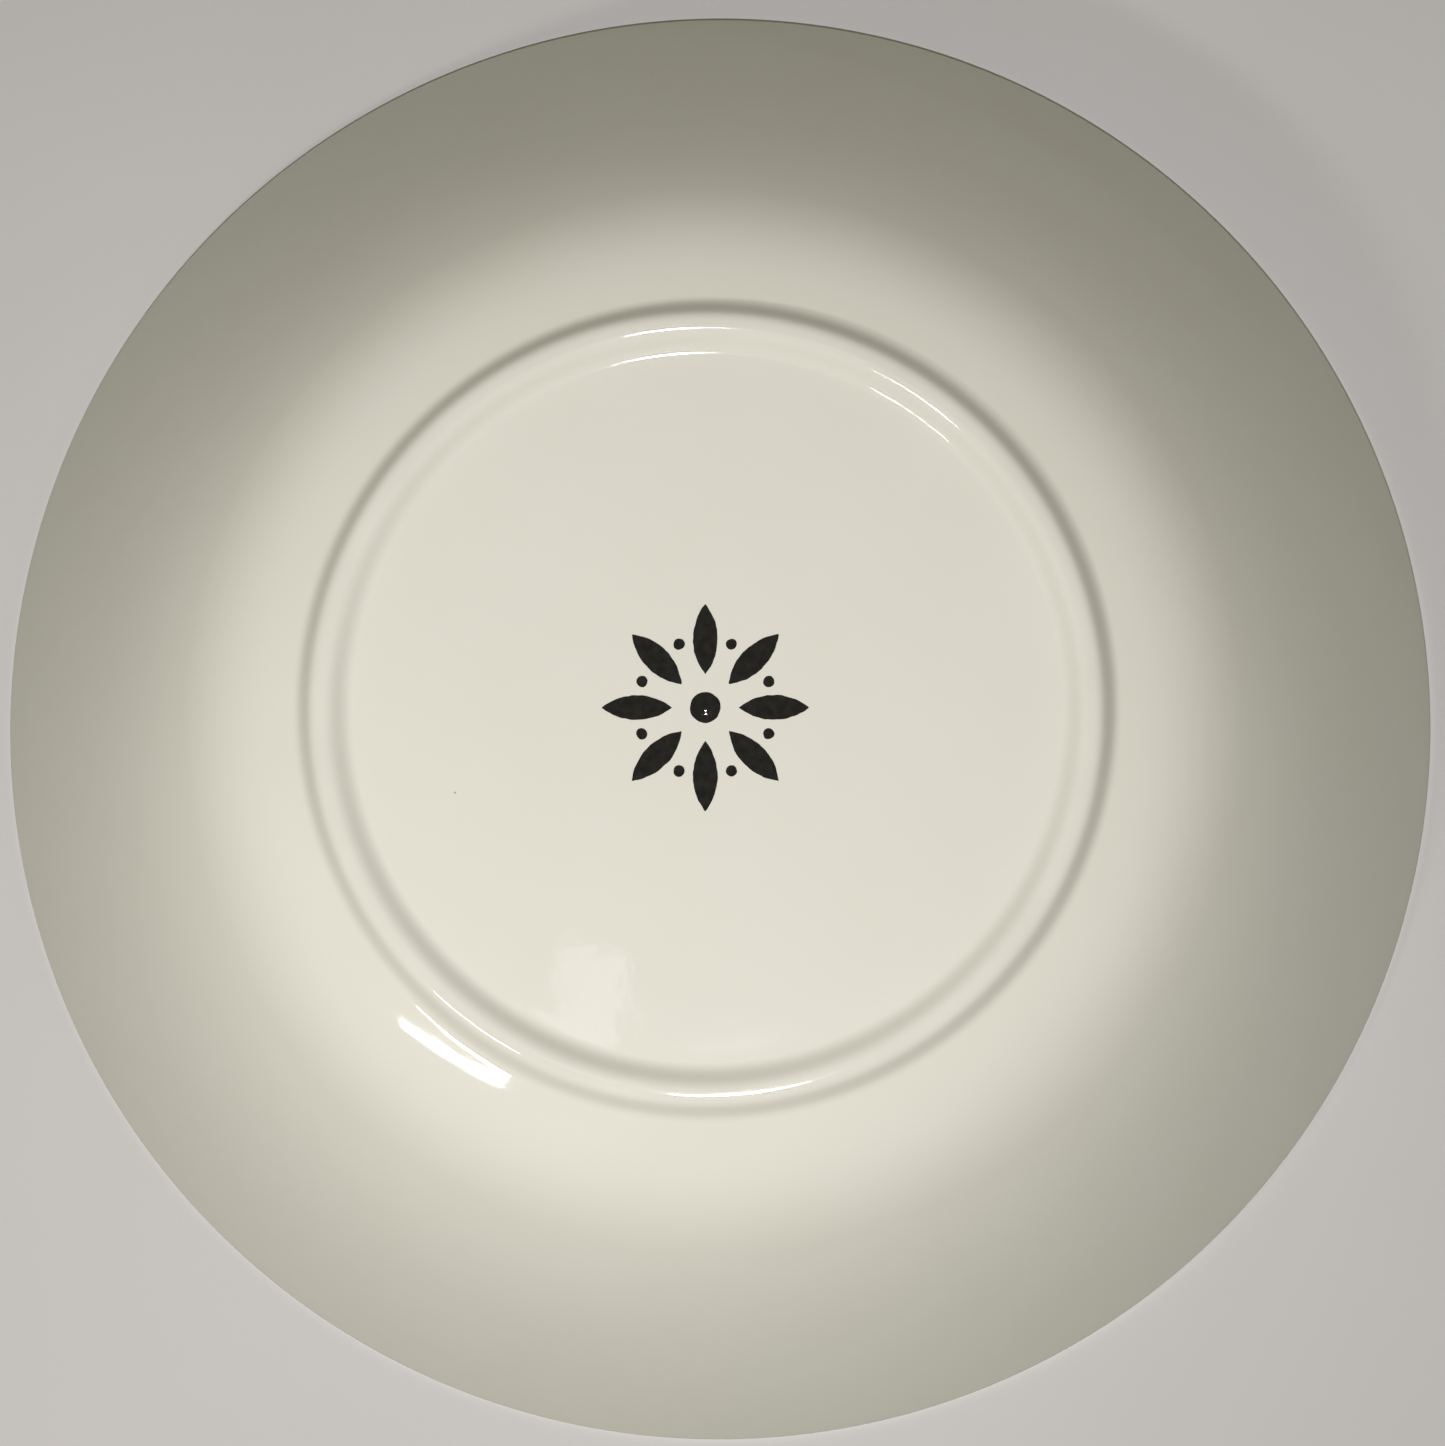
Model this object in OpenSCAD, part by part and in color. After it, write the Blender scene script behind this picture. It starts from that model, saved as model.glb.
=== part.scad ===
// Low round porcelain serving bowl, glazed all over, standing on a rounded foot ring.
// It stands upright on z = 0 with the z axis through its middle. Sizes are in millimetres.

/* [Bowl] */
// Outside diameter at the widest point of the rim
rim_d = 280; // [250:1:330]
// Height from the table to the top of the rim
bowl_h = 72; // [60:0.5:90]
// Wall thickness at the rim, both glaze coats included
rim_t = 4.2; // [3:0.1:6]
// Wall thickness where the wall leaves the foot ring, both glaze coats included
wall_t = 4.8; // [3.5:0.1:7]
// Slope of the outside where it leaves the foot ring, in degrees
start_slope = 12.5; // [6:0.5:18]
// Slope of the outside at the rim, in degrees
rim_slope = 55; // [48:1:64]
// Reach of the flat start of the wall, as a share of the wall's chord
start_reach = 0.18; // [0.08:0.01:0.3]
// Reach of the straight flare below the rim, as a share of the wall's chord
flare_reach = 0.78; // [0.5:0.01:0.9]

/* [Foot ring] */
// Diameter of the foot ring at the middle of its crest
foot_d = 137.1; // [110:0.1:160]
// Width of the flat crest that stands on the table
crest_w = 0.6; // [0.4:0.1:3]
// Width of the slope from the recessed base to the crest
inner_flank_w = 5.2; // [4:0.1:8]
// Width of the slope from the crest to the wall
outer_flank_w = 5.2; // [4:0.1:8]
// Height of the recessed base above the table
base_recess = 2.8; // [1.5:0.1:4]
// Height above the table at which the wall leaves the foot ring
wall_lift = 3.65; // [2:0.05:5]

/* [Well] */
// Thickness of the base under the well, both glaze coats included
base_t = 4.8; // [3.5:0.1:7]
// Width of the sweep from the wall to the flat floor of the well
sweep_w = 7.3; // [5:0.1:20]

/* [Glaze] */
// Thickness of the glaze coat
glaze_t = 0.4; // [0.2:0.05:0.7]

/* [Base mark] */
// Diameter of the rosette printed in the middle of the base
mark_d = 37; // [30:1:60]
// Number of petals in the rosette
petal_count = 8; // [5:1:10]
// Width of a petal at its middle
petal_w = 4.4; // [2:0.1:5]
// Diameter of the dot in the middle of the rosette
eye_d = 5.5; // [2:0.5:8]
// Gap between that dot and the tips of the petals
eye_gap = 3.2; // [1:0.1:5]
// Diameter of the small dots between the petals
dot_d = 2; // [1:0.1:2.4]
// Thickness of the printed film
ink_t = 0.08; // [0.05:0.01:0.15]

/* [Smoothness] */
// Straight steps in the curve of the wall
wall_steps = 28; // [12:1:60]
// Straight steps in each slope of the foot ring
flank_steps = 10; // [6:1:20]
// Straight steps in each of the three arcs of the rounded rim
lip_steps = 5; // [3:1:12]
// Straight steps in the sweep from the wall to the floor of the well
sweep_steps = 6; // [4:1:16]

/* [Hidden] */
$fn = 240;

glaze_colour = "#dfddcb";
clay_colour = "#efece2";
ink_colour = "#1b1a1c";

// Handles of the inner slope of the foot ring, as a share of its chord
soft_reach = 0.38;
// Handles of the outer slope of the foot ring, at the crest and in the groove below the wall
crest_reach = 0.44;
groove_reach = 0.42;
// Handles of the sweep from the wall to the floor of the well
sweep_reach = 0.30;

crest_in_r = foot_d / 2 - crest_w / 2;
crest_out_r = foot_d / 2 + crest_w / 2;
base_r = crest_in_r - inner_flank_w;
wall_r = crest_out_r + outer_flank_w;
floor_z = base_recess + base_t;
lip_r = rim_t / 2;
lip_centre = [rim_d / 2 - lip_r, bowl_h - lip_r];
petal_in_r = eye_d / 2 + eye_gap;
petal_l = mark_d / 2 - petal_in_r;
petal_mid_r = petal_in_r + petal_l / 2;

// Directions in the plane of the profile, where x is the radius and y the height
function heading(angle) = [cos(angle), sin(angle)];
function left_of(v) = [-v[1], v[0]];

// A curve is four control points, here from its ends, its headings and its two reaches
function bend(p, p_angle, p_reach, q, q_angle, q_reach) =
    let (chord = norm(q - p))
    [p, p + p_reach * chord * heading(p_angle), q - q_reach * chord * heading(q_angle), q];
function point_at(c, t) =
    pow(1 - t, 3) * c[0] + 3 * t * pow(1 - t, 2) * c[1] + 3 * t * t * (1 - t) * c[2] + pow(t, 3) * c[3];
function course_at(c, t) =
    pow(1 - t, 2) * (c[1] - c[0]) + 2 * t * (1 - t) * (c[2] - c[1]) + t * t * (c[3] - c[2]);
function normal_at(c, t) = left_of(course_at(c, t) / norm(course_at(c, t)));

// A station is a point on the glazed surface and the direction from there into the clay.
// Each run of stations leaves its end to the run that follows it.
function curve_run(c, steps) =
    [for (i = [0:steps - 1]) [point_at(c, i / steps), normal_at(c, i / steps)]];
function lip_run(from, to) =
    [for (i = [0:lip_steps - 1]) let (out = heading(from + (to - from) * i / lip_steps))
        [lip_centre + lip_r * out, -out]];
function wall_thickness(t) = wall_t + (rim_t - wall_t) * t;
function inside_of(c, t) = point_at(c, t) + wall_thickness(t) * normal_at(c, t);
function inside_run(c, steps) =
    [for (i = [steps:-1:1]) [inside_of(c, i / steps), -normal_at(c, i / steps)]];

inner_flank = bend([base_r, base_recess], 0, soft_reach, [crest_in_r, 0], 0, soft_reach);
outer_flank = bend([crest_out_r, 0], 0, crest_reach, [wall_r, wall_lift], start_slope, groove_reach);
wall_curve = bend([wall_r, wall_lift], start_slope, start_reach,
    lip_centre + lip_r * heading(rim_slope - 90), rim_slope, flare_reach);
floor_edge = [inside_of(wall_curve, 0)[0] - sweep_w, floor_z];
sweep = bend(inside_of(wall_curve, 0), 180 + start_slope, sweep_reach, floor_edge, 180, sweep_reach);

// The outside runs from the middle of the base to the rim, the inside from the rim to the well
outside = concat(
    [[[0, base_recess], [0, 1]]],
    curve_run(inner_flank, flank_steps),
    [[[crest_in_r, 0], [0, 1]]],
    curve_run(outer_flank, flank_steps),
    curve_run(wall_curve, wall_steps),
    lip_run(rim_slope - 90, 0),
    lip_run(0, 90)
);
inside = concat(
    lip_run(90, rim_slope + 90),
    inside_run(wall_curve, wall_steps),
    curve_run(sweep, sweep_steps),
    [[floor_edge, [0, -1]], [[0, floor_z], [0, -1]]]
);

function sunk(stations, depth) = [for (s = stations) s[0] + depth * s[1]];
function reversed(list) = [for (i = [len(list) - 1:-1:0]) list[i]];

module coat(stations) {
    rotate_extrude()
        polygon(concat(sunk(stations, 0), reversed(sunk(stations, glaze_t))));
}

module petal() {
    arc_r = (petal_l * petal_l + petal_w * petal_w) / (4 * petal_w);
    translate([petal_mid_r, 0])
        intersection() {
            translate([0, arc_r - petal_w / 2]) circle(arc_r);
            translate([0, petal_w / 2 - arc_r]) circle(arc_r);
        }
}

module rosette() {
    turn = 360 / petal_count;
    circle(d = eye_d);
    for (i = [0:petal_count - 1]) {
        rotate(i * turn) petal();
        rotate((i + 0.5) * turn) translate([petal_mid_r, 0]) circle(d = dot_d);
    }
}

module ceramic_body() {
    color(clay_colour)
        rotate_extrude()
            polygon(sunk(concat(outside, inside), glaze_t));
}

module outer_glaze() {
    color(glaze_colour) coat(concat(outside, [inside[0]]));
}

module inner_glaze() {
    color(glaze_colour) coat(inside);
}

module base_mark() {
    color(ink_colour)
        translate([0, 0, base_recess - ink_t])
            linear_extrude(ink_t) rosette();
}

ceramic_body();
outer_glaze();
inner_glaze();
base_mark();
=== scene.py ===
"""Low round porcelain serving bowl, cream glazed all over, with a dark rosette on its base.

The bowl stands upright in its frame. The camera looks up at its underside, as at a bowl that lies
upturned, so one floor faces down at the rim for that view, and another faces up at the foot for
views from above.
"""
import math

import bmesh
import bpy
from mathutils import Matrix, Vector, noise


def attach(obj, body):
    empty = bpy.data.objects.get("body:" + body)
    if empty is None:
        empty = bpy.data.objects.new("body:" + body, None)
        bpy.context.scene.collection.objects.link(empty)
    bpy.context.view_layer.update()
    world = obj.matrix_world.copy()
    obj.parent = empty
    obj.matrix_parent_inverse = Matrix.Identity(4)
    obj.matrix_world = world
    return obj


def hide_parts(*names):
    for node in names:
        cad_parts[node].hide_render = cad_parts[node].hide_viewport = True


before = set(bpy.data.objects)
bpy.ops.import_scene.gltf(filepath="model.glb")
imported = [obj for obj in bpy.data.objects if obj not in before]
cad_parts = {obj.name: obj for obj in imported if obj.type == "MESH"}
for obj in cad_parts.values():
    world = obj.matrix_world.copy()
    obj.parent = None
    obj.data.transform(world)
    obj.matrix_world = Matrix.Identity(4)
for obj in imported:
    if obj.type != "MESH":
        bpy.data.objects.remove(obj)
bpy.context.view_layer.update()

# Sizes of the bowl, in metres and radians, as in the CAD model
RIM_R = 0.140
BOWL_H = 0.072
RIM_T = 0.0042
WALL_T = 0.0048
START_SLOPE = math.radians(12.5)
RIM_SLOPE = math.radians(55)
START_REACH = 0.18
FLARE_REACH = 0.78
CREST_IN_R = 0.06825
CREST_OUT_R = 0.06885
INNER_FLANK_W = 0.0052
OUTER_FLANK_W = 0.0052
BASE_RECESS = 0.0028
WALL_LIFT = 0.00365
BASE_T = 0.0048
SWEEP_W = 0.0073
GLAZE_T = 0.0004
SOFT_REACH = 0.38
CREST_REACH = 0.44
GROOVE_REACH = 0.42
SWEEP_REACH = 0.30
MARK_R = 0.0185
PETAL_COUNT = 8
PETAL_W = 0.0044
EYE_R = 0.00275
EYE_GAP = 0.0032
DOT_R = 0.001
INK_T = 0.00008

BASE_R = CREST_IN_R - INNER_FLANK_W
WALL_R = CREST_OUT_R + OUTER_FLANK_W
WELL_Z = BASE_RECESS + BASE_T
LIP_R = RIM_T / 2
LIP_CENTRE = Vector((RIM_R - LIP_R, BOWL_H - LIP_R))
QUARTER = math.pi / 2
ON_AXIS = 1e-6

# Fineness of the lathed coats
TURN_STEPS = 288
BASE_STEPS = 26
FLANK_STEPS = 26
CREST_STEPS = 3
WALL_STEPS = 84
LIP_STEPS = 10
SWEEP_STEPS = 16
BACK_STRIDE = 6
SHARP_ANGLE = math.radians(40)

# Unevenness of the fired surface, which only ever dips below the true form
WAVE_DEPTH = 0.00005
WAVE_LENGTH = 0.034

# Edges of the print, and the drop of glaze in its middle
EDGE_WANDER = 0.00012
EDGE_LENGTH = 0.0011
EDGE_LAYER = 0.5
EDGE_STEPS = 48
DROP_R = 0.0016
DROP_RISE = 0.00015
DROP_STEPS = 10

# Pooled glaze and painted shade in a ring at the bottom of the wall, and rubbing on the crest of the
# foot ring
POOL_AND_SHADE_W = 0.006
POOL_AND_SHADE_SHARE = 0.18
RUB_H = 0.0006
RUB_SHARE = 0.35


# Form of the bowl: a profile of stations, each a point on the glaze and the direction into the clay

def heading(angle):
    """Direction in the plane of the profile, where x is the radius and y the height."""
    return Vector((math.cos(angle), math.sin(angle)))


def bend(p, p_angle, p_reach, q, q_angle, q_reach):
    """Control points of a smooth curve from p to q, whose reaches are shares of its chord."""
    chord = (q - p).length
    return p, p + p_reach * chord * heading(p_angle), q - q_reach * chord * heading(q_angle), q


def point_at(curve, t):
    """Point of a curve, where t runs from 0 at its start to 1 at its end."""
    a, b, c, d = curve
    s = 1 - t
    return s ** 3 * a + 3 * t * s * s * b + 3 * t * t * s * c + t ** 3 * d


def normal_at(curve, t):
    """Unit vector to the left of the curve's course."""
    a, b, c, d = curve
    s = 1 - t
    course = s * s * (b - a) + 2 * t * s * (c - b) + t * t * (d - c)
    return Vector((-course.y, course.x)).normalized()


def curve_run(curve, steps):
    """Stations along a curve, whose end is left to the run that follows."""
    return [(point_at(curve, i / steps), normal_at(curve, i / steps)) for i in range(steps)]


def line_run(p, q, inward, steps):
    """Stations along a straight line, whose end is left to the run that follows."""
    return [(p.lerp(q, i / steps), inward) for i in range(steps)]


def lip_run(start, end):
    """Stations on the round of the rim, whose end is left to the run that follows."""
    outs = [heading(start + (end - start) * i / LIP_STEPS) for i in range(LIP_STEPS)]
    return [(LIP_CENTRE + LIP_R * out, -out) for out in outs]


def inside_of(curve, t):
    """Point of the inside that lies across the wall from a point of the outside."""
    thickness = WALL_T + (RIM_T - WALL_T) * t
    return point_at(curve, t) + thickness * normal_at(curve, t)


def inside_run(curve, steps):
    """Stations down the inside of the wall, whose end is left to the run that follows."""
    return [(inside_of(curve, i / steps), -normal_at(curve, i / steps)) for i in range(steps, 0, -1)]


UP = Vector((0, 1))
base_edge = Vector((BASE_R, BASE_RECESS))
crest_in = Vector((CREST_IN_R, 0))
crest_out = Vector((CREST_OUT_R, 0))
wall_foot = Vector((WALL_R, WALL_LIFT))
inner_flank = bend(base_edge, 0, SOFT_REACH, crest_in, 0, SOFT_REACH)
outer_flank = bend(crest_out, 0, CREST_REACH, wall_foot, START_SLOPE, GROOVE_REACH)
wall_curve = bend(wall_foot, START_SLOPE, START_REACH,
                  LIP_CENTRE + LIP_R * heading(RIM_SLOPE - QUARTER), RIM_SLOPE, FLARE_REACH)
wall_inside = inside_of(wall_curve, 0)
floor_edge = Vector((wall_inside.x - SWEEP_W, WELL_Z))
sweep = bend(wall_inside, math.pi + START_SLOPE, SWEEP_REACH, floor_edge, math.pi, SWEEP_REACH)

rim_top = (LIP_CENTRE + LIP_R * UP, -UP)
outside = (line_run(Vector((0, BASE_RECESS)), base_edge, UP, BASE_STEPS)
           + curve_run(inner_flank, FLANK_STEPS)
           + line_run(crest_in, crest_out, UP, CREST_STEPS)
           + curve_run(outer_flank, FLANK_STEPS)
           + curve_run(wall_curve, WALL_STEPS)
           + lip_run(RIM_SLOPE - QUARTER, 0)
           + lip_run(0, QUARTER)
           + [rim_top])
inside = (lip_run(QUARTER, RIM_SLOPE + QUARTER)
          + inside_run(wall_curve, WALL_STEPS)
          + curve_run(sweep, SWEEP_STEPS)
          + line_run(floor_edge, Vector((0, WELL_Z)), -UP, BASE_STEPS)
          + [(Vector((0, WELL_Z)), -UP)])


# Meshes

def dip_at(place):
    """Depth of the glaze's unevenness at a place."""
    wave = noise.noise(place / WAVE_LENGTH)
    return WAVE_DEPTH * (0.5 + 0.5 * max(-1, min(1, wave)))


def ring(bm, station, depth, uneven):
    """Vertices of one station turned round the axis, or one vertex on the axis."""
    point, inward = station
    count = 1 if point.x < ON_AXIS else TURN_STEPS
    verts = []
    for i in range(count):
        angle = 2 * math.pi * i / count
        out = Vector((math.cos(angle), math.sin(angle), 0))
        place = out * point.x + Vector((0, 0, point.y))
        sunk = depth + (dip_at(place) if uneven else 0)
        verts.append(bm.verts.new(place + sunk * (out * inward.x + Vector((0, 0, inward.y)))))
    return verts


def band(bm, low, high):
    """Faces between two rings, either of which may be one vertex."""
    count = max(len(low), len(high))
    for i in range(count):
        j = (i + 1) % count
        if len(low) == 1:
            bm.faces.new((low[0], high[i], high[j]))
        elif len(high) == 1:
            bm.faces.new((low[i], low[j], high[0]))
        else:
            bm.faces.new((low[i], low[j], high[j], high[i]))


def finished(bm, name, material, node):
    """The mesh as a piece that stands for a CAD node."""
    bmesh.ops.recalc_face_normals(bm, faces=bm.faces)
    mesh = bpy.data.meshes.new(name)
    bm.to_mesh(mesh)
    bm.free()
    mesh.materials.append(material)
    mesh.shade_smooth()
    mesh.set_sharp_from_angle(angle=SHARP_ANGLE)
    piece = bpy.data.objects.new(name, mesh)
    bpy.context.scene.collection.objects.link(piece)
    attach(piece, "root")
    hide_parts(node)


def coat(name, stations, material, node):
    """A closed glaze coat: an uneven face, and a back against the clay with fewer rings."""
    bm = bmesh.new()
    back = stations[:-1:BACK_STRIDE] + [stations[-1]]
    rings = [ring(bm, station, 0, True) for station in stations]
    rings += [ring(bm, station, GLAZE_T, False) for station in reversed(back)]
    for low, high in zip(rings, rings[1:]):
        if len(low) + len(high) > 2:
            band(bm, low, high)
    if len(rings[0]) > 1:
        band(bm, rings[-1], rings[0])
    finished(bm, name, material, node)


def film(bm, outline):
    """One patch of the print, a thin closed film on the base."""
    top = [bm.verts.new((x, y, BASE_RECESS - INK_T)) for x, y in outline]
    back = [bm.verts.new((x, y, BASE_RECESS)) for x, y in outline]
    bm.faces.new(top)
    bm.faces.new(reversed(back))
    for i in range(len(outline)):
        j = (i + 1) % len(outline)
        bm.faces.new((top[i], back[i], back[j], top[j]))


def drop(bm):
    """A small drop of glaze on the middle of the print, with its flat back on the film."""
    rings = []
    for k in range(DROP_STEPS):
        share = 1 - k / DROP_STEPS
        depth = BASE_RECESS - INK_T - DROP_RISE * (1 - share * share) ** 2
        outs = [DROP_R * share * heading(2 * math.pi * i / EDGE_STEPS) for i in range(EDGE_STEPS)]
        rings.append([bm.verts.new((out.x, out.y, depth)) for out in outs])
    rings.append([bm.verts.new((0, 0, BASE_RECESS - INK_T - DROP_RISE))])
    bm.faces.new(rings[0])
    for low, high in zip(rings, rings[1:]):
        band(bm, low, high)


def rough_edge(x, y, outward):
    """A point of a print's outline, moved a little as ink on a fired surface draws its edge."""
    shift = EDGE_WANDER * noise.noise(Vector((x, y, EDGE_LAYER)) / EDGE_LENGTH)
    return x + shift * outward[0], y + shift * outward[1]


def disc_outline(x, y, radius):
    """A round patch of the print."""
    outline = []
    for i in range(EDGE_STEPS):
        out = heading(2 * math.pi * i / EDGE_STEPS)
        outline.append(rough_edge(x + radius * out.x, y + radius * out.y, out))
    return outline


def petal_outline(angle):
    """Two arcs that meet at the petal's tips, turned to its place in the rosette."""
    inner = EYE_R + EYE_GAP
    length = MARK_R - inner
    middle = inner + length / 2
    arc_r = (length * length + PETAL_W * PETAL_W) / (4 * PETAL_W)
    half = math.asin(length / 2 / arc_r)
    along = heading(angle)
    across = Vector((-along.y, along.x))
    outline = []
    for side in (1, -1):
        for i in range(EDGE_STEPS):
            turn = side * half * (1 - 2 * i / EDGE_STEPS)
            reach = middle + arc_r * math.sin(turn)
            lift = side * (arc_r * math.cos(turn) - arc_r + PETAL_W / 2)
            at = along * reach + across * lift
            outline.append(rough_edge(at.x, at.y, across * side))
    return outline


def rosette(name, material, node):
    """The printed rosette: an eye, a ring of petals and a dot between each two."""
    bm = bmesh.new()
    film(bm, disc_outline(0, 0, EYE_R))
    drop(bm)
    petal_mid_r = (EYE_R + EYE_GAP + MARK_R) / 2
    for i in range(PETAL_COUNT):
        angle = 2 * math.pi * i / PETAL_COUNT
        film(bm, petal_outline(angle))
        at = petal_mid_r * heading(angle + math.pi / PETAL_COUNT)
        film(bm, disc_outline(at.x, at.y, DOT_R))
    finished(bm, name, material, node)


# Materials

GLAZE_COLOUR = (0.70, 0.69, 0.61, 1)
GLAZE_SHADE = (0.675, 0.66, 0.575, 1)
# Darker colour for the ring at the foot of the wall: partly pooled glaze, partly painted shade in the
# groove there
GLAZE_POOL_AND_SHADE = (0.66, 0.645, 0.54, 1)
GLAZE_WORN = (0.62, 0.605, 0.54, 1)
GLAZE_SPECK = (0.36, 0.34, 0.27, 1)
CLAY_COLOUR = (0.80, 0.77, 0.69, 1)
CLAY_SHADE = (0.72, 0.68, 0.58, 1)
CLAY_SPECK = (0.42, 0.36, 0.28, 1)
INK_COLOUR = (0.008, 0.008, 0.009, 1)
INK_THIN = (0.022, 0.021, 0.019, 1)
FLOOR_COLOUR = (0.62, 0.61, 0.60, 1)
FLOOR_SHADE = (0.58, 0.57, 0.56, 1)
GLAZE_IOR = 1.5
SKIN_DEPTH = 0.00004
SKIN_WAVES = 110


def nodes_of(tree):
    """Two short calls for a node tree: one adds a node with its settings, one links two sockets."""
    def add(kind, inputs=None, **settings):
        node = tree.nodes.new(kind)
        for key, value in settings.items():
            setattr(node, key, value)
        for key, value in (inputs or {}).items():
            node.inputs[key].default_value = value
        return node
    return add, tree.links.new


def new_group(name, ins, outs):
    """An empty shader node group with named sockets, each given as its name, kind and default."""
    tree = bpy.data.node_groups.new(name, "ShaderNodeTree")
    for label, kind, value in ins:
        tree.interface.new_socket(label, in_out="INPUT", socket_type=kind).default_value = value
    for label, kind in outs:
        tree.interface.new_socket(label, in_out="OUTPUT", socket_type=kind)
    add, link = nodes_of(tree)
    return tree, add, link, add("NodeGroupInput"), add("NodeGroupOutput")


def make_mottle():
    """Soft clouds that turn one colour a little towards another, as in fired glaze and clay."""
    tree, add, link, given, result = new_group(
        "fired_mottle",
        [("Colour", "NodeSocketColor", (1, 1, 1, 1)), ("Shade", "NodeSocketColor", (0.9, 0.9, 0.9, 1)),
         ("Cloud Scale", "NodeSocketFloat", 40), ("Amount", "NodeSocketFloat", 0.5)],
        [("Colour", "NodeSocketColor"), ("Cloud", "NodeSocketFloat")])
    place = add("ShaderNodeTexCoord")
    cloud = add("ShaderNodeTexNoise", {"Detail": 4, "Roughness": 0.55})
    spread = add("ShaderNodeMapRange", {"From Min": 0.35, "From Max": 0.68})
    share = add("ShaderNodeMath", operation="MULTIPLY")
    mix = add("ShaderNodeMix", data_type="RGBA")
    link(place.outputs["Object"], cloud.inputs["Vector"])
    link(given.outputs["Cloud Scale"], cloud.inputs["Scale"])
    link(cloud.outputs["Fac"], spread.inputs["Value"])
    link(spread.outputs["Result"], share.inputs[0])
    link(given.outputs["Amount"], share.inputs[1])
    link(share.outputs[0], mix.inputs["Factor"])
    link(given.outputs["Colour"], mix.inputs["A"])
    link(given.outputs["Shade"], mix.inputs["B"])
    link(mix.outputs["Result"], result.inputs["Colour"])
    link(spread.outputs["Result"], result.inputs["Cloud"])
    return tree


def make_ripple():
    """Height of a fired skin: low waves with a fine peel on top of them."""
    tree, add, link, given, result = new_group(
        "fired_ripple",
        [("Wave Scale", "NodeSocketFloat", 90), ("Peel Scale", "NodeSocketFloat", 900),
         ("Peel Share", "NodeSocketFloat", 0.1)],
        [("Height", "NodeSocketFloat")])
    place = add("ShaderNodeTexCoord")
    wave = add("ShaderNodeTexNoise", {"Detail": 2, "Roughness": 0.4})
    peel = add("ShaderNodeTexNoise", {"Detail": 2, "Roughness": 0.5})
    height = add("ShaderNodeMath", operation="MULTIPLY_ADD")
    link(place.outputs["Object"], wave.inputs["Vector"])
    link(place.outputs["Object"], peel.inputs["Vector"])
    link(given.outputs["Wave Scale"], wave.inputs["Scale"])
    link(given.outputs["Peel Scale"], peel.inputs["Scale"])
    link(peel.outputs["Fac"], height.inputs[0])
    link(given.outputs["Peel Share"], height.inputs[1])
    link(wave.outputs["Fac"], height.inputs[2])
    link(height.outputs[0], result.inputs["Height"])
    return tree


def make_specks():
    """Mask of small scattered specks, of which only a share of the cells holds one."""
    tree, add, link, given, result = new_group(
        "firing_specks",
        [("Cell Scale", "NodeSocketFloat", 120), ("Size", "NodeSocketFloat", 0.03),
         ("Share", "NodeSocketFloat", 0.2)],
        [("Mask", "NodeSocketFloat")])
    place = add("ShaderNodeTexCoord")
    cells = add("ShaderNodeTexVoronoi")
    near = add("ShaderNodeMath", operation="LESS_THAN")
    split = add("ShaderNodeSeparateColor")
    chosen = add("ShaderNodeMath", operation="LESS_THAN")
    both = add("ShaderNodeMath", operation="MULTIPLY")
    link(place.outputs["Object"], cells.inputs["Vector"])
    link(given.outputs["Cell Scale"], cells.inputs["Scale"])
    link(cells.outputs["Distance"], near.inputs[0])
    link(given.outputs["Size"], near.inputs[1])
    link(cells.outputs["Color"], split.inputs["Color"])
    link(split.outputs["Red"], chosen.inputs[0])
    link(given.outputs["Share"], chosen.inputs[1])
    link(near.outputs[0], both.inputs[0])
    link(chosen.outputs[0], both.inputs[1])
    link(both.outputs[0], result.inputs["Mask"])
    return tree


MOTTLE = make_mottle()
RIPPLE = make_ripple()
SPECKS = make_specks()


def new_material(name):
    """An empty material with its output node."""
    material = bpy.data.materials.new(name)
    material.use_nodes = True
    material.node_tree.nodes.clear()
    add, link = nodes_of(material.node_tree)
    return material, add, link, add("ShaderNodeOutputMaterial")


def placed(add, tree, inputs):
    """A node group placed in a material with its own values."""
    node = add("ShaderNodeGroup", node_tree=tree)
    for key, value in inputs.items():
        node.inputs[key].default_value = value
    return node


def fired_skin(add, link, shader, height):
    """Bump from a group's height on a shader's normal."""
    bump = add("ShaderNodeBump", {"Strength": 1, "Distance": SKIN_DEPTH})
    link(height, bump.inputs["Height"])
    link(bump.outputs["Normal"], shader.inputs["Normal"])


def pooled_and_shaded(add, link, place, colour):
    """The glaze's colour, a little darker in a ring at the radius of the bend below the wall: partly
    pooled glaze, partly painted shade in the groove there.
    """
    flat = add("ShaderNodeVectorMath", {1: (1, 1, 0)}, operation="MULTIPLY")
    radius = add("ShaderNodeVectorMath", operation="LENGTH")
    off = add("ShaderNodeMath", {1: WALL_R}, operation="SUBTRACT")
    away = add("ShaderNodeMath", operation="ABSOLUTE")
    share = add("ShaderNodeMapRange", {"From Max": POOL_AND_SHADE_W, "To Min": POOL_AND_SHADE_SHARE, "To Max": 0},
                interpolation_type="SMOOTHSTEP")
    mix = add("ShaderNodeMix", {"B": GLAZE_POOL_AND_SHADE}, data_type="RGBA")
    link(place.outputs["Object"], flat.inputs[0])
    link(flat.outputs["Vector"], radius.inputs[0])
    link(radius.outputs["Value"], off.inputs[0])
    link(off.outputs[0], away.inputs[0])
    link(away.outputs[0], share.inputs["Value"])
    link(share.outputs["Result"], mix.inputs["Factor"])
    link(colour, mix.inputs["A"])
    return mix.outputs["Result"]


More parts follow.
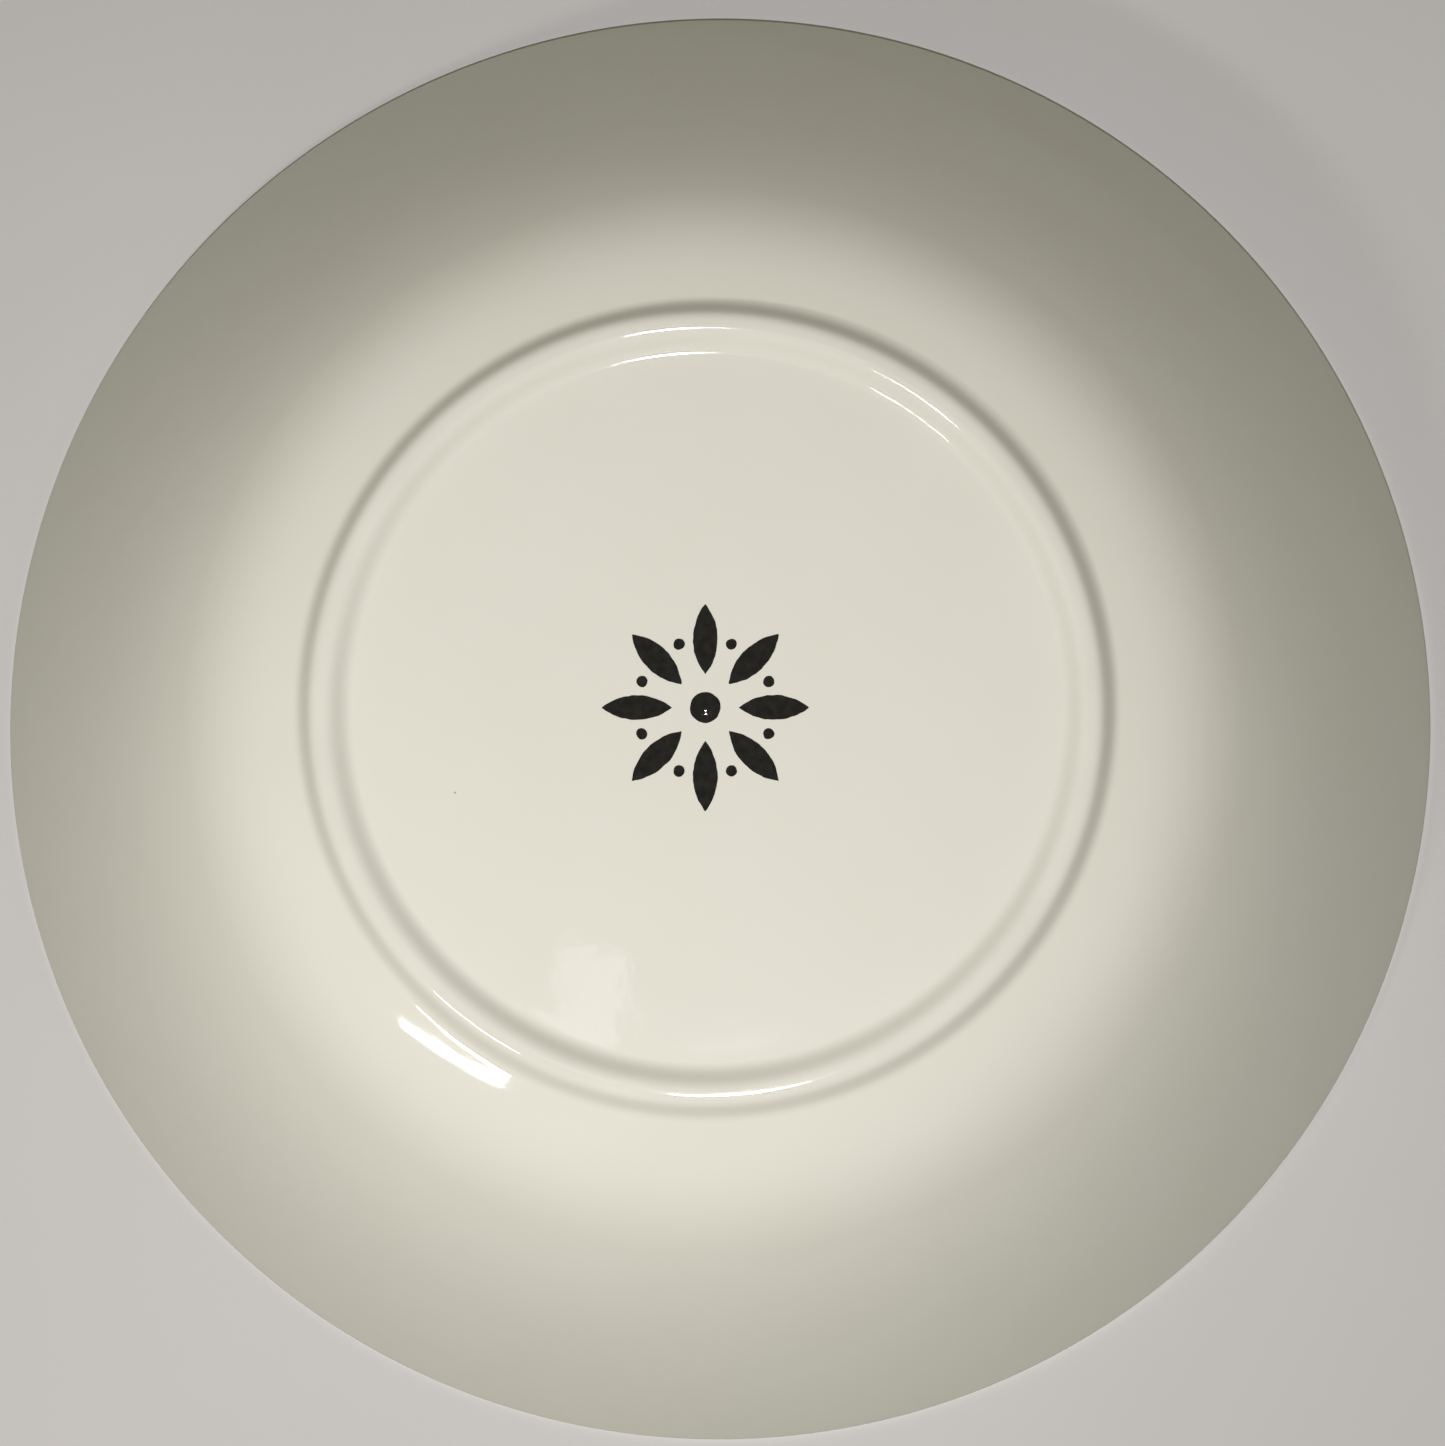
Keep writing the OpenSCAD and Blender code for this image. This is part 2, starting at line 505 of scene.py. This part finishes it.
def rubbed(add, link, place, patches, colour):
    """The glaze's colour with patches of rubbing on the crest that stands on the table."""
    axes = add("ShaderNodeSeparateXYZ")
    crest = add("ShaderNodeMapRange", {"From Max": RUB_H, "To Min": RUB_SHARE, "To Max": 0})
    share = add("ShaderNodeMath", operation="MULTIPLY")
    mix = add("ShaderNodeMix", {"B": GLAZE_WORN}, data_type="RGBA")
    link(place.outputs["Object"], axes.inputs["Vector"])
    link(axes.outputs["Z"], crest.inputs["Value"])
    link(crest.outputs["Result"], share.inputs[0])
    link(patches, share.inputs[1])
    link(share.outputs[0], mix.inputs["Factor"])
    link(colour, mix.inputs["A"])
    return mix.outputs["Result"]


def cream_glaze():
    """Opaque cream glaze: glossy, faintly clouded, with a few specks and a low ripple."""
    material, add, link, out = new_material("cream_glaze")
    shader = add("ShaderNodeBsdfPrincipled", {"IOR": GLAZE_IOR})
    place = add("ShaderNodeTexCoord")
    mottle = placed(add, MOTTLE, {"Colour": GLAZE_COLOUR, "Shade": GLAZE_SHADE,
                                  "Cloud Scale": 45, "Amount": 0.35})
    specks = placed(add, SPECKS, {"Cell Scale": 90, "Size": 0.02, "Share": 0.12})
    ripple = placed(add, RIPPLE, {"Wave Scale": SKIN_WAVES, "Peel Scale": 900, "Peel Share": 0.06})
    speckled = add("ShaderNodeMix", {"B": GLAZE_SPECK}, data_type="RGBA")
    gloss = add("ShaderNodeMapRange", {"To Min": 0.03, "To Max": 0.05})
    # Painted shade and pooled glaze: the colour turns darker in a ring at the foot of the wall
    pooled_and_shaded_colour = pooled_and_shaded(add, link, place, mottle.outputs["Colour"])
    link(specks.outputs["Mask"], speckled.inputs["Factor"])
    link(rubbed(add, link, place, mottle.outputs["Cloud"], pooled_and_shaded_colour), speckled.inputs["A"])
    link(mottle.outputs["Cloud"], gloss.inputs["Value"])
    link(speckled.outputs["Result"], shader.inputs["Base Color"])
    link(gloss.outputs["Result"], shader.inputs["Roughness"])
    fired_skin(add, link, shader, ripple.outputs["Height"])
    link(shader.outputs["BSDF"], out.inputs["Surface"])
    return material


def fired_clay():
    """The porcelain body under the glaze: pale, matt and faintly speckled."""
    material, add, link, out = new_material("fired_clay")
    shader = add("ShaderNodeBsdfPrincipled", {"Roughness": 0.7})
    mottle = placed(add, MOTTLE, {"Colour": CLAY_COLOUR, "Shade": CLAY_SHADE,
                                  "Cloud Scale": 70, "Amount": 0.5})
    specks = placed(add, SPECKS, {"Cell Scale": 200, "Size": 0.05, "Share": 0.3})
    speckled = add("ShaderNodeMix", {"B": CLAY_SPECK}, data_type="RGBA")
    link(specks.outputs["Mask"], speckled.inputs["Factor"])
    link(mottle.outputs["Colour"], speckled.inputs["A"])
    link(speckled.outputs["Result"], shader.inputs["Base Color"])
    link(shader.outputs["BSDF"], out.inputs["Surface"])
    return material


def fired_ink():
    """Black ceramic print: dense, with thinner patches, under the same ripple as the glaze."""
    material, add, link, out = new_material("fired_ink")
    shader = add("ShaderNodeBsdfPrincipled", {"IOR": GLAZE_IOR})
    mottle = placed(add, MOTTLE, {"Colour": INK_COLOUR, "Shade": INK_THIN,
                                  "Cloud Scale": 700, "Amount": 0.6})
    ripple = placed(add, RIPPLE, {"Wave Scale": SKIN_WAVES, "Peel Scale": 1400, "Peel Share": 0.12})
    gloss = add("ShaderNodeMapRange", {"To Min": 0.035, "To Max": 0.06})
    link(mottle.outputs["Cloud"], gloss.inputs["Value"])
    link(mottle.outputs["Colour"], shader.inputs["Base Color"])
    link(gloss.outputs["Result"], shader.inputs["Roughness"])
    fired_skin(add, link, shader, ripple.outputs["Height"])
    link(shader.outputs["BSDF"], out.inputs["Surface"])
    return material


def pale_floor(name, seen_by):
    """A matt pale floor that only rays of the given kinds meet, and only on its face."""
    material, add, link, out = new_material(name)
    matt = add("ShaderNodeBsdfDiffuse", {"Roughness": 0.5})
    clear = add("ShaderNodeBsdfTransparent")
    mottle = placed(add, MOTTLE, {"Colour": FLOOR_COLOUR, "Shade": FLOOR_SHADE,
                                  "Cloud Scale": 6, "Amount": 0.4})
    path = add("ShaderNodeLightPath")
    side = add("ShaderNodeNewGeometry")
    front = add("ShaderNodeMath", {0: 1}, operation="SUBTRACT")
    meets = add("ShaderNodeMath", operation="MULTIPLY")
    mix = add("ShaderNodeMixShader")
    link(mottle.outputs["Colour"], matt.inputs["Color"])
    link(side.outputs["Backfacing"], front.inputs[1])
    seen = path.outputs[seen_by[0]]
    for kind in seen_by[1:]:
        more = add("ShaderNodeMath", operation="MAXIMUM")
        link(seen, more.inputs[0])
        link(path.outputs[kind], more.inputs[1])
        seen = more.outputs[0]
    link(front.outputs[0], meets.inputs[0])
    link(seen, meets.inputs[1])
    link(meets.outputs[0], mix.inputs["Fac"])
    link(clear.outputs["BSDF"], mix.inputs[1])
    link(matt.outputs["BSDF"], mix.inputs[2])
    link(mix.outputs["Shader"], out.inputs["Surface"])
    return material


# Pieces

glaze = cream_glaze()
clay = fired_clay()
ink = fired_ink()
coat("outer_glaze_coat", outside, glaze, "outer_glaze")
coat("inner_glaze_coat", inside, glaze, "inner_glaze")
rosette("base_rosette", ink, "base_mark")
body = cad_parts["ceramic_body"]
body.data.materials.clear()
body.data.materials.append(clay)


# Stage: floors, light and camera

FLOOR_REACH = 6.0
FLOOR_STEPS = 96
RIM_HOLE_R = 0.1385
FOOT_HOLE_R = 0.060
FOOT_GAP = 0.0003
FACING_UP = 1
FACING_DOWN = -1


def floor_ring(name, height, hole_r, facing, material):
    """A wide round floor at a height, with a hole that the bowl hides, facing up or down."""
    bm = bmesh.new()
    inner = []
    outer = []
    for i in range(FLOOR_STEPS):
        out = heading(2 * math.pi * i / FLOOR_STEPS)
        inner.append(bm.verts.new((out.x * hole_r, out.y * hole_r, height)))
        outer.append(bm.verts.new((out.x * FLOOR_REACH, out.y * FLOOR_REACH, height)))
    for i in range(FLOOR_STEPS):
        j = (i + 1) % FLOOR_STEPS
        corners = (inner[i], outer[i], outer[j], inner[j])
        bm.faces.new(corners if facing == FACING_UP else reversed(corners))
    mesh = bpy.data.meshes.new(name)
    bm.to_mesh(mesh)
    bm.free()
    mesh.materials.append(material)
    floor = bpy.data.objects.new(name, mesh)
    bpy.context.scene.collection.objects.link(floor)


floor_ring("floor_under_rim", BOWL_H, RIM_HOLE_R, FACING_DOWN,
           pale_floor("floor_at_rim", ["Is Camera Ray", "Is Glossy Ray", "Is Transmission Ray"]))
floor_ring("floor_under_foot", -FOOT_GAP, FOOT_HOLE_R, FACING_UP,
           pale_floor("floor_at_foot", ["Is Camera Ray"]))


# Places and colours of the lamps, all of which aim at the middle of the foot
CAMERA_LAMP = Vector((0.0053, -0.121, -0.628))
SIDE_LAMP = Vector((0.1694, -0.2002, -0.2838))
PANE_LAMP = Vector((0.0615, -0.073, -0.628))
ACROSS = Vector((1, 0, 0))
SIDE_ACROSS = Vector((0.0613, 0.0317, 0.0142))
FLASH_COLOUR = (1.0, 0.99, 1.08)
SIDE_COLOUR = (1.0, 0.98, 0.92)
PANE_COLOUR = (0.97, 0.98, 1.0)


def lamp(name, place, across, colour, width, length, power):
    """A flat lamp, whose width lies along a given direction across its beam."""
    beam = -place.normalized()
    side = (across - across.dot(beam) * beam).normalized()
    data = bpy.data.lights.new(name, "AREA")
    data.shape = "RECTANGLE"
    data.size = width
    data.size_y = length
    data.energy = power
    data.color = colour
    obj = bpy.data.objects.new(name, data)
    turn = Matrix((side, side.cross(beam), -beam)).transposed().to_4x4()
    obj.matrix_world = Matrix.Translation(place) @ turn
    bpy.context.scene.collection.objects.link(obj)


lamp("camera_lamp", CAMERA_LAMP, ACROSS, FLASH_COLOUR, width=0.013, length=0.010, power=2.5)
lamp("camera_lamp_rim", CAMERA_LAMP, ACROSS, FLASH_COLOUR, width=0.044, length=0.004, power=0.57)
lamp("side_lamp", SIDE_LAMP, SIDE_ACROSS, SIDE_COLOUR, width=0.072, length=0.0125, power=0.337)
lamp("pane_lamp", PANE_LAMP, ACROSS, PANE_COLOUR, width=0.026, length=0.036, power=0.0050)

# Soft light from overhead, which only reaches the inside of the bowl and the floor it stands on
OVERHEAD_POWER = 3.7
OVERHEAD_SPREAD = math.radians(28)
OVERHEAD_COLOUR = (1.0, 0.995, 0.98)
OVERHEAD_TILT = (math.radians(14), math.radians(-9), 0)
overhead = bpy.data.lights.new("overhead_light", "SUN")
overhead.energy = OVERHEAD_POWER
overhead.angle = OVERHEAD_SPREAD
overhead.color = OVERHEAD_COLOUR
overhead_light = bpy.data.objects.new("overhead_light", overhead)
overhead_light.rotation_euler = OVERHEAD_TILT
bpy.context.scene.collection.objects.link(overhead_light)

# Light from below and above the horizon, and a pale backdrop that only the camera meets
LOW_LIGHT = (0.168, 0.158, 0.088, 1)
HIGH_LIGHT = (0.06, 0.06, 0.056, 1)
BACKDROP = (0.74, 0.735, 0.725, 1)
HORIZON_BLEND = 0.05


def surroundings():
    """The world of the scene."""
    world = bpy.data.worlds.new("studio")
    bpy.context.scene.world = world
    world.use_nodes = True
    world.node_tree.nodes.clear()
    add, link = nodes_of(world.node_tree)
    way = add("ShaderNodeTexCoord")
    parts = add("ShaderNodeSeparateXYZ")
    climb = add("ShaderNodeMapRange", {"From Min": -HORIZON_BLEND, "From Max": HORIZON_BLEND})
    ambient = add("ShaderNodeMix", {"A": LOW_LIGHT, "B": HIGH_LIGHT}, data_type="RGBA")
    path = add("ShaderNodeLightPath")
    shown = add("ShaderNodeMix", {"B": BACKDROP}, data_type="RGBA")
    light = add("ShaderNodeBackground")
    sky = add("ShaderNodeOutputWorld")
    link(way.outputs["Generated"], parts.inputs["Vector"])
    link(parts.outputs["Z"], climb.inputs["Value"])
    link(climb.outputs["Result"], ambient.inputs["Factor"])
    link(path.outputs["Is Camera Ray"], shown.inputs["Factor"])
    link(ambient.outputs["Result"], shown.inputs["A"])
    link(shown.outputs["Result"], light.inputs["Color"])
    link(light.outputs["Background"], sky.inputs["Surface"])


surroundings()

# The camera stands off the bowl's axis towards the picture's lower right
CAMERA_SIDE = -0.0291
CAMERA_DOWN = -0.0428
CAMERA_DISTANCE = 0.70
CAMERA_LENS = 88.13
CAMERA_SENSOR = 36
AIM_SHIFT = Vector((-0.00117, 0.00024, 0))
PICTURE_UP = Vector((0, 1, 0))
rim_centre = Vector((0, 0, BOWL_H))
along_axis = -math.sqrt(1 - CAMERA_SIDE ** 2 - CAMERA_DOWN ** 2)
stand = rim_centre + CAMERA_DISTANCE * Vector((CAMERA_SIDE, CAMERA_DOWN, along_axis))
forward = (rim_centre + AIM_SHIFT - stand).normalized()
right = forward.cross(PICTURE_UP).normalized()
upward = right.cross(forward)
turn = Matrix((right, upward, -forward)).transposed().to_4x4()
camera_data = bpy.data.cameras.new("camera")
camera_data.sensor_width = CAMERA_SENSOR
camera_data.lens = CAMERA_LENS
camera = bpy.data.objects.new("camera", camera_data)
camera.matrix_world = Matrix.Translation(stand) @ turn
bpy.context.scene.collection.objects.link(camera)
bpy.context.scene.camera = camera
bpy.context.scene.view_settings.view_transform = "Standard"
